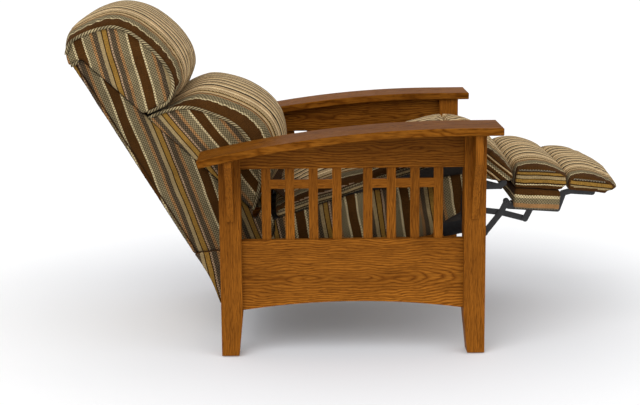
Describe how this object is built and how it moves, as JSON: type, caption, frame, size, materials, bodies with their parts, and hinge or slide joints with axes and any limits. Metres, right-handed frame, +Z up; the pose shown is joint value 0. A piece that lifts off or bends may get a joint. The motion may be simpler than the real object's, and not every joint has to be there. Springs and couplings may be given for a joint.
{
  "type": "mission reclining armchair",
  "caption": "Mission-style reclining armchair with bowed wooden arms, slatted sides, striped cushions, a laid-back hinged back and an extended folding footrest.",
  "frame": {"origin": "middle of the whole chair's footprint on the floor, in the reclined pose with the footrest out", "axes": "+X towards the footrest, +Y towards the sitter's left, +Z up"},
  "size_m": [1.497, 0.926, 0.9228],
  "materials": {
    "oak": "stained oak with satin lacquer",
    "frame_wood": "plain sawn hardwood",
    "upholstery": "striped woven chenille",
    "webbing": "woven elastic webbing",
    "black_steel": "black enamel",
    "zinc": "zinc plated",
    "glide": "matt"
  },
  "bodies": {
    "wooden_frame": {"front_post_right": "oak", "front_post_left": "oak", "rear_post_right": "oak", "rear_post_left": "oak", "bow_arm_right": "oak", "bow_arm_left": "oak", "upper_rail_right": "oak", "upper_rail_left": "oak", "lower_rail_right": "oak", "lower_rail_left": "oak", "slats_right": "oak", "slats_left": "oak", "crossbars_right": "oak", "crossbars_left": "oak", "corbels_right": "oak", "corbels_left": "oak", "base_rail_right": "black_steel", "base_rail_left": "black_steel", "post_glides": "glide", "front_stretcher": "oak", "rear_stretcher": "oak", "base_bolts": "zinc", "tilt_pins": "black_steel"},
    "seat": {"seat_side_rail_right": "frame_wood", "seat_side_rail_left": "frame_wood", "seat_side_panel_right": "upholstery", "seat_side_panel_left": "upholstery", "side_plate_right": "black_steel", "side_plate_left": "black_steel", "seat_front_rail": "frame_wood", "seat_rear_rail": "frame_wood", "seat_webbing": "webbing", "seat_cushion": "upholstery", "seat_front_roll": "upholstery", "seat_pivot_pins": "black_steel"},
    "back": {"back_side_right": "upholstery", "back_side_left": "upholstery", "back_top_rail": "frame_wood", "back_bottom_rail": "frame_wood", "back_webbing": "webbing", "outside_back": "upholstery", "back_tail": "upholstery", "lumbar_cushion": "upholstery", "headrest_cushion": "upholstery", "back_hinge_plates": "black_steel"},
    "lift": {"lift_bars": "black_steel", "lift_tube": "black_steel"},
    "steering": {"steering_bars": "black_steel"},
    "crossing": {"crossing_bars": "black_steel", "crossing_pins": "black_steel"},
    "toe": {"toe_links": "black_steel", "toe_pins": "black_steel"},
    "footrest": {"footrest_brackets": "black_steel", "bracket_pins": "black_steel", "footrest_board": "upholstery", "footrest_pad": "upholstery"},
    "flipper": {"flipper_plates": "black_steel", "flipper_board": "frame_wood", "flipper_pad": "upholstery"}
  },
  "joints": [
    {"name": "seat_tilt", "type": "hinge", "parent": "wooden_frame", "child": "seat", "pos_m": [-0.01079, 0, 0.255], "axis": [0, 1, 0], "range_deg": [0, 10]},
    {"name": "back_recline", "type": "hinge", "parent": "seat", "child": "back", "pos_m": [-0.25785, 0, 0.33735], "axis": [0, 1, 0], "range_deg": [0, 7.1]},
    {"name": "footrest_lift", "type": "hinge", "parent": "seat", "child": "lift", "pos_m": [0.3598, 0, 0.42798], "axis": [0, 1, 0], "range_deg": [0, 70]},
    {"name": "steering_pivot", "type": "hinge", "parent": "seat", "child": "steering", "pos_m": [0.3167, 0, 0.37296], "axis": [0, 1, 0], "range_deg": [0, 70.5]},
    {"name": "crossing_pivot", "type": "hinge", "parent": "lift", "child": "crossing", "pos_m": [0.41586, 0, 0.35765], "axis": [0, 1, 0], "range_deg": [-70.5, 0]},
    {"name": "toe_pivot", "type": "hinge", "parent": "lift", "child": "toe", "pos_m": [0.48196, 0, 0.33985], "axis": [0, 1, 0], "range_deg": [-70.5, 0]},
    {"name": "footrest_pivot", "type": "hinge", "parent": "crossing", "child": "footrest", "pos_m": [0.43087, 0, 0.38771], "axis": [0, 1, 0], "range_deg": [0, 70.5]},
    {"name": "flipper_pivot", "type": "hinge", "parent": "footrest", "child": "flipper", "pos_m": [0.58559, 0, 0.40697], "axis": [0, 1, 0], "range_deg": [0, 90.5]}
  ],
  "couplings": [
    {"joint": "back_recline", "follows": "seat_tilt", "ratio": 0.7},
    {"joint": "steering_pivot", "follows": "footrest_lift", "ratio": 1},
    {"joint": "crossing_pivot", "follows": "footrest_lift", "ratio": -1},
    {"joint": "toe_pivot", "follows": "footrest_lift", "ratio": -1},
    {"joint": "footrest_pivot", "follows": "footrest_lift", "ratio": 1},
    {"joint": "flipper_pivot", "follows": "footrest_lift", "ratio": 1.2857}
  ]
}
